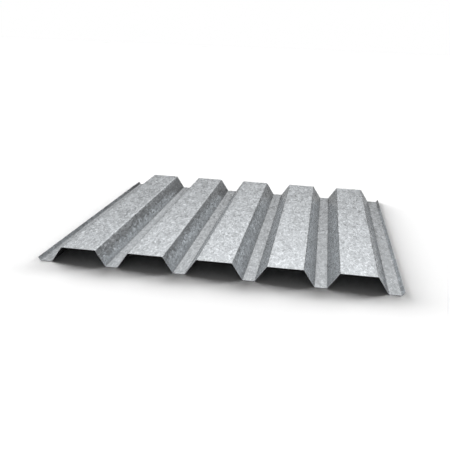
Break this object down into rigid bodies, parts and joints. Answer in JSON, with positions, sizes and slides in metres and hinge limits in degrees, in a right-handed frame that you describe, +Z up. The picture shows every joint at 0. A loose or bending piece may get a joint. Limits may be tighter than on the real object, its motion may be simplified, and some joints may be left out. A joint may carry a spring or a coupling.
{
  "type": "corrugated metal sheet",
  "caption": "Galvanised steel sheet roll-formed into wide flat crests and narrow troughs, with a lap trough and upturned lip along each long edge, for roofs and walls.",
  "frame": {"origin": "middle of the sheet across and along its ribs, on the plane of the trough undersides that it rests on", "axes": "+X across the ribs, +Y along the ribs, +Z up from the troughs to the crests"},
  "size_m": [0.9444, 0.89, 0.043],
  "materials": {
    "galvanised_steel": "hot-dip galvanised, regular spangle, unpainted"
  },
  "bodies": {
    "root": {"trapezoidal_sheet": "galvanised_steel"}
  },
  "joints": []
}
